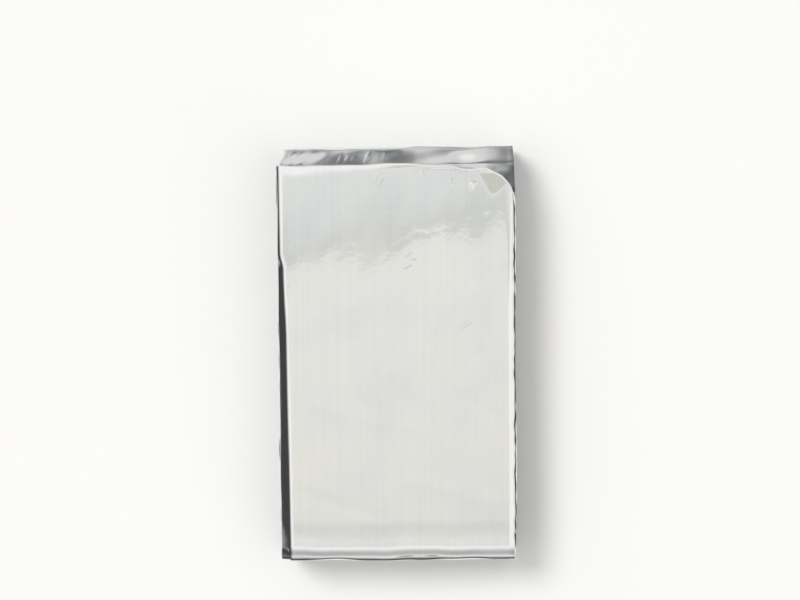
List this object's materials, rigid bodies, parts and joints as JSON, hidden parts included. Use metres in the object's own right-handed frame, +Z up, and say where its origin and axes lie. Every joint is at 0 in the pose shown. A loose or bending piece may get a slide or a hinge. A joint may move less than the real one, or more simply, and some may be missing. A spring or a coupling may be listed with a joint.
{
  "type": "folded emergency sleeping bag",
  "caption": "Emergency sleeping bag of thin silver film, folded end to end into a flat pocket-size pack with a crisp front crease at the head end.",
  "frame": {"origin": "centre of the bounding box's bottom, on the surface that the pack lies on", "axes": "+Z up through the pack's front, +Y to the head end where the strip wraps round the stack, +X to the right of someone who looks down at the front"},
  "size_m": [0.0842, 0.1471, 0.026],
  "materials": {
    "aluminised_film": "polished"
  },
  "bodies": {
    "root": {"folded_bag": "aluminised_film"}
  },
  "joints": []
}
